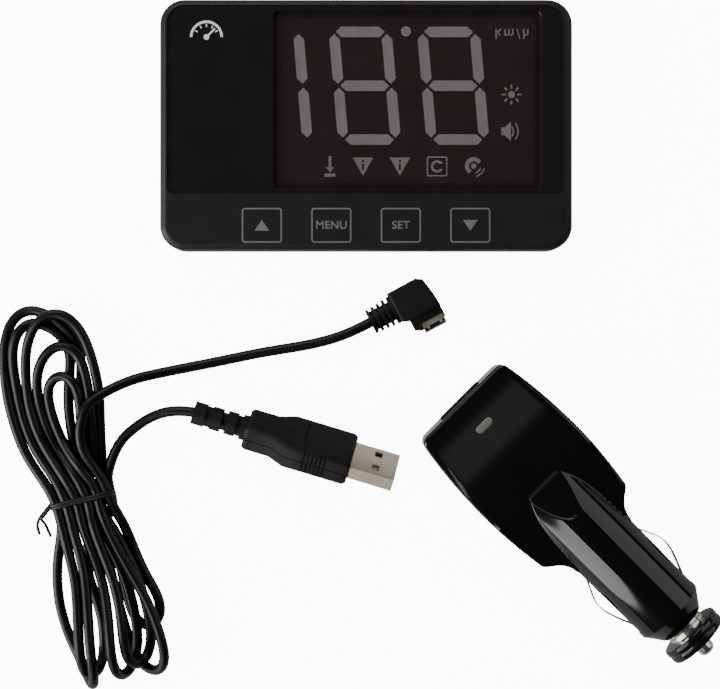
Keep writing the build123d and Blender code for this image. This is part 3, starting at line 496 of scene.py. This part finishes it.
ADAPTER_PLACE = (26.2, -77.2)
ADAPTER_ANGLE = -45.0
ADAPTER_AXIS_LEVEL = 10.7
BARREL_RADIUS = 10.65
BARREL_FRONT_RADIUS = 10.35
BARREL_END = 83.1
TAPER_END = 88.0
MOUTH_RADIUS = 6.85
BODY_END = 49.5
SHOULDER_END = 57.5
CASE_TOP = 8.8
TOP_FALL_START = 33.0
TOP_FALL = 4.4
TOP_FALL_LENGTH = 9.7
CREST_START = 31.0
CREST_END = 47.0
CREST_LOW = 8.79
CREST_HIGH = 10.75
EDGE_ROUNDING = 1.1
REAR_CORNER = 2.2
USB_MOUTH = (14.4, 7.2)
SPRING_SLOT = (56.4, 81.6)
SPRING_SLOT_ANGLE = 14
CASE_WALL = 1.6
LENS_DISTANCE = 9.1
LENS_HALF = (1.1, 2.75)
LENS_RIBS = 7


def case_half_width(s):
    """Half the case's width at a distance from its rear face: bowed body, shoulders, barrel, taper."""
    if s > BARREL_END:
        t = (s - BARREL_END) / (TAPER_END - BARREL_END)
        return BARREL_FRONT_RADIUS + (MOUTH_RADIUS - BARREL_FRONT_RADIUS) * t
    if s > SHOULDER_END:
        t = (s - SHOULDER_END) / (BARREL_END - SHOULDER_END)
        return BARREL_RADIUS + (BARREL_FRONT_RADIUS - BARREL_RADIUS) * t
    body = 18.1 - 2.4 * ((s - 26.5) / 26.5) ** 2
    t = (s - BODY_END) / (SHOULDER_END - BODY_END)
    shoulder = BARREL_RADIUS + 5.4 * (1 - t) ** 2.6
    return soft_least(body, shoulder, 1.8) - corner_inset(s, REAR_CORNER)


def case_top(s):
    """The level of the body's top above the axis: slightly bowed, then falling to the shoulders."""
    level = CASE_TOP - 0.4 * ((s - 27) / 27) ** 2
    if s > TOP_FALL_START:
        level -= TOP_FALL * (1 - math.exp((TOP_FALL_START - s) / TOP_FALL_LENGTH))
    return level


def box_exit(half, top, corner, c, q):
    """How far a ray from the axis goes before it leaves a box with rounded upper corners."""
    side = half / max(c, 1e-9)
    if side * q <= top - corner:
        return side
    lid = top / max(q, 1e-9)
    if lid * c <= half - corner:
        return lid
    along = (half - corner) * c + (top - corner) * q
    return along + math.sqrt(max(0.0, along**2 - (half - corner) ** 2 - (top - corner) ** 2 + corner**2))


def case_radius(s, degrees, upper):
    """The case's surface, as a distance from the axis at an angle above the parting plane."""
    c = abs(math.cos(math.radians(degrees)))
    q = math.sin(math.radians(degrees))
    half = case_half_width(s)
    if s >= SHOULDER_END:
        return half
    top = (case_top(s) if upper else BARREL_RADIUS) - corner_inset(s, EDGE_ROUNDING)
    reach = box_exit(half, top, EDGE_ROUNDING, c, q)
    if s < CREST_START:
        return reach
    if upper:
        crest = CREST_LOW + (CREST_HIGH - CREST_LOW) * ramp((s - CREST_START) / (CREST_END - CREST_START))
        barrel = soft_least(BARREL_RADIUS, crest / max(q, 1e-9), 0.3)
        return soft_most(reach, barrel, 0.001 + 0.3 * ramp((s - CREST_START) / 6))
    return reach


def case_stations():
    edge = [0.0, 0.1, 0.3, 0.6, 1.0, 1.5, REAR_CORNER]
    body = list(np.arange(3.2, CREST_START, 1.2))
    ridge = list(np.arange(CREST_START, BODY_END - 2, 0.6))
    shoulder = list(np.linspace(BODY_END - 2, SPRING_SLOT[0], 25))
    barrel = [SHOULDER_END, *np.arange(59.0, SPRING_SLOT[1], 2.0), SPRING_SLOT[1]]
    taper = [BARREL_END, BARREL_END + 0.2, 85.5, TAPER_END - 0.2, TAPER_END]
    return [*edge, *body, *ridge, *shoulder, *barrel, *taper]


def make_case(name, node, upper):
    """One half of the adapter's case: rings round the axis, closed at the rear up to the socket's mouth."""
    degrees = sorted([*np.linspace(0, 180, 145), SPRING_SLOT_ANGLE, 180 - SPRING_SLOT_ANGLE])
    way = 1 if upper else -1
    places = [-1.0, *case_stations()]
    bm = bmesh.new()
    rings = []
    for s in places:
        ring = []
        for d in degrees:
            c, q = math.cos(math.radians(d)), math.sin(math.radians(d))
            if s < 0:
                reach = box_exit(USB_MOUTH[0] / 2, USB_MOUTH[1] / 2, 0.01, abs(c), q)
            else:
                reach = case_radius(s, d, upper)
            ring.append(bm.verts.new((max(s, 0.0), reach * c, way * reach * q)))
        rings.append(ring)
    for i in range(len(rings) - 1):
        in_slot = SPRING_SLOT[0] - 0.01 <= places[i] and places[i + 1] <= SPRING_SLOT[1] + 0.01
        for j in range(len(degrees) - 1):
            middle = (degrees[j] + degrees[j + 1]) / 2
            if in_slot and not SPRING_SLOT_ANGLE < middle < 180 - SPRING_SLOT_ANGLE:
                continue
            bm.faces.new((rings[i][j], rings[i][j + 1], rings[i + 1][j + 1], rings[i + 1][j]))
    mesh = finished_mesh(name, bm, placed(*ADAPTER_PLACE, ADAPTER_AXIS_LEVEL, ADAPTER_ANGLE), 32)
    case = new_piece(name, mesh, "adapter", "adapter_gloss", node)
    wall = case.modifiers.new("wall", "SOLIDIFY")
    wall.thickness = CASE_WALL * MM
    wall.offset = -1
    return case


def make_lens():
    """The power light's oval lens, with ribs across it and a skirt down into the case."""
    half_along, half_across = LENS_HALF
    base = case_top(LENS_DISTANCE)
    bm = bmesh.new()
    rows = []
    for i in range(57):
        y = half_across * (2 * i / 56 - 1)
        past = max(0.0, abs(y) - (half_across - half_along))
        half = math.sqrt(max(1e-4, half_along**2 - past**2))
        rib = 0.09 * abs(math.sin(math.pi * LENS_RIBS * (i / 56)))
        row = [bm.verts.new((LENS_DISTANCE - half, y, base - 1.2))]
        for j in range(11):
            x = half * (2 * j / 10 - 1)
            crown = 0.12 + (0.14 + rib) * math.sqrt(max(0.0, 1 - (j / 5 - 1) ** 2))
            row.append(bm.verts.new((LENS_DISTANCE + x, y, base - 0.1 + crown)))
        row.append(bm.verts.new((LENS_DISTANCE + half, y, base - 1.2)))
        rows.append(row)
    bridge_rings(bm, rows, True)
    bm.faces.new(rows[0])
    bm.faces.new(rows[-1])
    place = placed(*ADAPTER_PLACE, ADAPTER_AXIS_LEVEL, ADAPTER_ANGLE)
    mesh = finished_mesh("ribbed_lens", bm, place, 50)
    new_piece("ribbed_lens", mesh, "adapter", "lens_cream", "power_lens")


def make_nose():
    """The turned pieces at the adapter's front: collar, screw-on ring and live tip."""
    place = placed(*ADAPTER_PLACE, ADAPTER_AXIS_LEVEL, ADAPTER_ANGLE)
    collar = rounded([
        (84.0, 4.5, 0), (84.0, 5.9, 0), (88.9, 5.9, 1), (89.1, 5.6, 1),
        (89.3, 5.9, 1), (90.6, 5.9, 0), (90.6, 4.5, 0),
    ], 0.15, 3)
    lathe("turned_collar", collar, place, "nose", "contact_nickel", "contact_collar")
    ring = rounded([
        (90.6, 4.5, 0), (90.6, 9.2, 1), (92.4, 9.2, 1), (92.8, 8.9, 1),
        (93.2, 9.2, 1), (95.0, 9.0, 1), (95.0, 2.9, 1), (93.4, 2.75, 0),
        (93.4, 4.5, 0),
    ], 0.7)
    lathe("turned_ring", ring, place, "nose", "nose_plastic", "nose_ring")
    tip = rounded([
        (91.6, 0.01, 0), (91.6, 4.2, 0), (93.2, 4.2, 1), (93.2, 2.45, 0),
        (98.2, 2.45, 1), (99.2, 1.4, 1), (99.2, 0.01, 0),
    ], 0.5)
    lathe("turned_tip", tip, place, "tip", "contact_nickel", "tip_contact")


# ------------------------------------------------------------------ printed and lit lettering

KEY_ROW = -28.1
KEY_PITCH = 19.35
FACE_LEVEL = 14.0
INK = 0.06
LIT_LEVEL = 11.8
LIT_DEPTH = 0.6
UNIT_CENTRE = (40.8, 25.7)


def word(bm, text, size, centre, low, high, flip=False, weight=0.0, spacing=1.05):
    """A word in the built-in typeface, standing between two levels."""
    data = bpy.data.curves.new("word", "FONT")
    data.body = text
    data.size = size
    data.align_x = "CENTER"
    data.align_y = "CENTER"
    data.extrude = (high - low) / 2
    data.offset = weight
    data.space_character = spacing
    holder = bpy.data.objects.new("word", data)
    bpy.context.scene.collection.objects.link(holder)
    bpy.context.view_layer.update()
    mesh = bpy.data.meshes.new_from_object(holder.evaluated_get(bpy.context.evaluated_depsgraph_get()))
    upright = Matrix.Diagonal((1, -1 if flip else 1, 1, 1))
    mesh.transform(Matrix.Translation((*centre, (low + high) / 2)) @ upright)
    bm.from_mesh(mesh)
    bpy.data.objects.remove(holder)
    bpy.data.curves.remove(data)
    bpy.data.meshes.remove(mesh)


def triangle(bm, centre, half_base, half_height, low, high):
    x, y = centre
    corners = [(x - half_base, y - half_height), (x + half_base, y - half_height), (x, y + half_height)]
    bottom = [bm.verts.new((*corner, low)) for corner in corners]
    top = [bm.verts.new((*corner, high)) for corner in corners]
    bm.faces.new(bottom)
    bm.faces.new(top)
    bridge_rings(bm, [bottom, top], True)


def make_lettering():
    low, high = FACE_LEVEL, FACE_LEVEL + INK
    bm = bmesh.new()
    triangle(bm, (-1.5 * KEY_PITCH, KEY_ROW), 2.1, 1.5, low, high)
    word(bm, "MENU", 3.1, (-0.5 * KEY_PITCH, KEY_ROW), low, high, weight=0.06)
    word(bm, "SET", 3.1, (0.5 * KEY_PITCH, KEY_ROW), low, high, weight=0.06)
    triangle(bm, (1.5 * KEY_PITCH, KEY_ROW), 2.1, -1.5, low, high)
    mesh = finished_mesh("key_lettering", bm, placed(0, 0, 0), 30)
    new_piece("key_lettering", mesh, "display", "key_print", "key_labels")
    bm = bmesh.new()
    word(bm, "km/h", 3.9, UNIT_CENTRE, LIT_LEVEL - LIT_DEPTH, LIT_LEVEL + 0.01, flip=True, weight=0.05,
         spacing=1.3)
    new_piece("unit_lettering", finished_mesh("unit_lettering", bm, placed(0, 0, 0), 30), "display",
              "symbol_diffuser", "speed_unit_legend")


# ------------------------------------------------------------------ the micro-USB plug's metal shell

MICRO_PLUG_PLACE = (15.2, -50.5)
MICRO_PLUG_ANGLE = -62.0
MICRO_SHELL_ENDS = (2.4, 7.6)
MICRO_SHELL_LID_END = 6.1
MICRO_SHELL_ACROSS = (-1.925, 4.925)
MICRO_SHELL_LEVELS = (1.975, 3.825)
SHEET_METAL = 0.3


def wall(bm, ends, across, levels):
    """A flat wall of folded sheet metal."""
    corners = [(ends[0], across[0]), (ends[1], across[0]), (ends[1], across[1]), (ends[0], across[1])]
    bottom = [bm.verts.new((x, y, levels[0])) for x, y in corners]
    top = [bm.verts.new((x, y, levels[1])) for x, y in corners]
    bm.faces.new(bottom)
    bm.faces.new(top)
    bridge_rings(bm, [bottom, top], True)


def break_edges(piece, width):
    edge = piece.modifiers.new("edge", "BEVEL")
    edge.width = width * MM
    edge.segments = 2


def make_micro_shell():
    """The shell with its lid cut back from the mouth, and a black plastic lining inside the mouth that also
    serves as painted shade for the open mouth.
    """
    place = placed(*MICRO_PLUG_PLACE, 0, MICRO_PLUG_ANGLE)
    left, right = MICRO_SHELL_ACROSS
    floor, lid = MICRO_SHELL_LEVELS
    start, end = MICRO_SHELL_ENDS
    bm = bmesh.new()
    wall(bm, (start, end), (left, right), (floor, floor + SHEET_METAL))
    wall(bm, (start, end), (left, left + SHEET_METAL), (floor + SHEET_METAL, lid - SHEET_METAL))
    wall(bm, (start, end), (right - SHEET_METAL, right), (floor + SHEET_METAL, lid - SHEET_METAL))
    wall(bm, (start, MICRO_SHELL_LID_END), (left, right), (lid - SHEET_METAL, lid))
    mesh = finished_mesh("folded_micro_shell", bm, place, 30)
    shell = new_piece("folded_micro_shell", mesh, "lead", "connector_nickel", "micro_plug_shell")
    break_edges(shell, 0.08)
    # Dark lining on the shell's floor: partly the plug's real black plastic, partly painted shade so the
    # open mouth reads dark from above.
    bm = bmesh.new()
    wall(bm, (start + 0.4, end - 0.4), (left + SHEET_METAL + 0.05, right - SHEET_METAL - 0.05),
         (floor + SHEET_METAL + 0.02, floor + 0.75))
    mesh = finished_mesh("micro_mouth_shade_lining", bm, place, 30)
    shade_lining = new_piece("micro_mouth_shade_lining", mesh, "lead", "component_black")
    break_edges(shade_lining, 0.1)


# ------------------------------------------------------------------ the tie

TIE_HALF = (8.95, 3.75)
TIE_LEVEL = 4.0
TIE_CORE = 0.55


def wire_mesh(bm, points, radius, sides=10):
    """A round wire along points, with its ends closed."""
    line = smooth_line(points, 0.5)
    side = Vector((0, 0, 1))
    rings = []
    for i, point in enumerate(line):
        way = Vector(line[min(i + 1, len(line) - 1)] - line[max(i - 1, 0)]).normalized()
        side = (side - way * side.dot(way)).normalized()
        other = way.cross(side)
        ring = []
        for k in range(sides):
            angle = 2 * math.pi * k / sides
            out = math.cos(angle) * side + math.sin(angle) * other
            ring.append(bm.verts.new(Vector(point) + radius * out))
        rings.append(ring)
    bridge_rings(bm, rings, True)
    bm.faces.new(rings[0])
    bm.faces.new(rings[-1])


def make_tie():
    """A plastic-coated wire twice round the bundle, its two ends twisted together and spread."""
    half_across, half_height = TIE_HALF
    loop = []
    turns = 2
    for step in range(turns * 20 + 1):
        angle = math.pi + 2 * math.pi * step / 20
        x = half_across * math.copysign(abs(math.cos(angle)) ** 0.55, math.cos(angle))
        z = TIE_LEVEL + half_height * math.copysign(abs(math.sin(angle)) ** 0.55, math.sin(angle))
        loop.append((x, 0.75 - 1.5 * step / (turns * 20), max(z, TIE_CORE + 0.1)))
    bm = bmesh.new()
    twist = []
    for phase in (0.0, math.pi):
        strand = []
        for step in range(13):
            angle = phase + math.pi * step / 3
            along = step / 12
            strand.append((-half_across - 0.5 - 3.2 * along, -2.6 * along + 0.5 * math.cos(angle),
                           4.2 + 0.5 * math.sin(angle)))
        twist.append(strand)
    end = twist[0][-1]
    wire_mesh(bm, [*loop, (-half_across - 0.3, -0.75, 4.4)], TIE_CORE)
    wire_mesh(bm, [*twist[0], (end[0] - 1.6, end[1] - 2.2, 3.4), (end[0] - 1.9, end[1] - 5.0, 1.6)], 0.45)
    wire_mesh(bm, [*twist[1], (end[0] + 0.6, end[1] - 2.8, 3.2), (end[0] + 1.0, end[1] - 6.4, 1.2)], 0.45)
    mesh = finished_mesh("wire_tie", bm, placed(*TIE_CENTRE, 0, TIE_ANGLE), 50)
    new_piece("wire_tie", mesh, "lead", "tie_plastic", "cable_tie")


def declare_cord():
    """Lists the plugs' CAD nodes from the record, leaving out the micro plug's shell; nothing further is
    done with the list.
    """
    slots = slot_of_node()
    plugs = [name for name in slots if name.startswith(("micro_plug", "usb_plug"))]
    plugs.remove("micro_plug_shell")


def slot_of_node():
    """Which material slot each CAD node has in the record."""
    return {row["node"]: row["material_slot"] for row in frame["record"]["subparts"]}


def dress_nodes():
    slots = slot_of_node()
    for name, node in frame["nodes"].items():
        node.data.materials.clear()
        node.data.materials.append(materials[slots[name]])


dress_nodes()
cord.data.materials.append(materials["cord_jacket"])
make_case("case_upper", "adapter_upper_shell", True)
make_case("case_lower", "adapter_lower_shell", False)
make_lens()
make_nose()
make_lettering()
make_tie()
make_micro_shell()
for node, bevel in (("front_housing", 0.15), ("rear_housing", 0.15), ("face_panel", 0.1),
                    ("micro_plug_overmould", 0.35), ("usb_plug_overmould", 0.2)):
    softened(node, slot_of_node()[node], bevel)
declare_cord()

# ------------------------------------------------------------------ floor and lights


FLOOR_GLOW = 11.0


def make_floor():
    """A pale sheet of paper, lit from behind like a light table for the camera alone."""
    mesh = bpy.data.meshes.new("floor")
    side = 3.0
    corners = [(-side, -side, 0), (side, -side, 0), (side, side, 0), (-side, side, 0)]
    mesh.from_pydata(corners, [], [(0, 1, 2, 3)])
    floor = bpy.data.objects.new("floor", mesh)
    paper = surface("floor_paper", (0.9, 0.9, 0.9), 0.9, variation=0.01, bump=0.0)
    nodes = paper.node_tree.nodes
    links = paper.node_tree.links
    shader = nodes["Principled BSDF"]
    shader.inputs["Emission Color"].default_value = (1, 1, 1, 1)
    path = nodes.new("ShaderNodeLightPath")
    glow = nodes.new("ShaderNodeMath")
    glow.operation = "MULTIPLY"
    glow.inputs[1].default_value = FLOOR_GLOW
    links.new(path.outputs["Is Camera Ray"], glow.inputs[0])
    links.new(glow.outputs["Value"], shader.inputs["Emission Strength"])
    floor.data.materials.append(paper)
    bpy.context.scene.collection.objects.link(floor)


def softbox(name, place, target, width, height, power):
    data = bpy.data.lights.new(name, "AREA")
    data.shape = "RECTANGLE"
    data.size = width
    data.size_y = height
    data.energy = power
    light = bpy.data.objects.new(name, data)
    light.location = place
    light.rotation_mode = "QUATERNION"
    light.rotation_quaternion = (Vector(target) - Vector(place)).to_track_quat("-Z", "Y")
    bpy.context.scene.collection.objects.link(light)
    return light


def make_world(strength):
    world = bpy.data.worlds.new("studio")
    world.use_nodes = True
    background = world.node_tree.nodes["Background"]
    background.inputs["Color"].default_value = (1, 1, 1, 1)
    background.inputs["Strength"].default_value = strength
    bpy.context.scene.world = world


def strip_light(name, start, end, half_width, radiance):
    """A narrow light high above, square to the adapter. Its reflection crosses the case's bowed top
    between two distances from the rear face."""
    angle = math.radians(ADAPTER_ANGLE)
    along = Vector((math.cos(angle), math.sin(angle), 0))
    camera = Vector((*CAMERA_PLACE, CAMERA_HEIGHT))
    height = 900.0
    ends = []
    for s in (start, end):
        level = ADAPTER_AXIS_LEVEL + case_top(s)
        seen = Vector((*ADAPTER_PLACE, level)) + along * s
        slope = (case_top(s + 0.1) - case_top(s - 0.1)) / 0.2
        normal = (Vector((0, 0, 1)) - along * slope).normalized()
        ray = (seen - camera).normalized()
        mirrored = ray - 2 * ray.dot(normal) * normal
        ends.append(seen + mirrored * (height - seen.z) / mirrored.z)
    place = (ends[0] + ends[1]) / 2 * MM
    length = (ends[1] - ends[0]).dot(along) * MM
    width = 2 * half_width * (1 + height / CAMERA_HEIGHT) * MM
    power = radiance * math.pi * length * width
    light = softbox(name, place, place - Vector((0, 0, 1)), length, width, power)
    light.rotation_mode = "XYZ"
    light.rotation_euler = (0, 0, angle)


make_floor()
make_world(0.05)
softbox("left_softbox", (-0.957, -0.243, 0.42), (-0.407, 0.347, 0), 0.65, 0.95, 13)
softbox("left_low_light", (-0.611, -0.588, 0.12), (-0.0374, -0.0136, 0.01), 0.42, 0.12, 0.86)
softbox("barrel_softbox", (-0.396, -0.803, 0.42), (0.178, -0.229, 0.01), 0.1, 0.95, 1.62)
softbox("left_edge_light", (-0.23, -0.42, 0.9), (0.07, -0.12, 0), 0.03, 0.8, 0.22)
softbox("right_softbox", (0.8, 0.3, 0.6), (0, -0.06, 0), 0.5, 0.9, 1.6)
softbox("back_softbox", (-0.3, 0.8, 0.6), (0, -0.06, 0), 0.9, 0.5, 4)
strip_light("rear_strip", 6.0, 17.0, 16.0, 0.4)

bpy.context.view_layer.update()
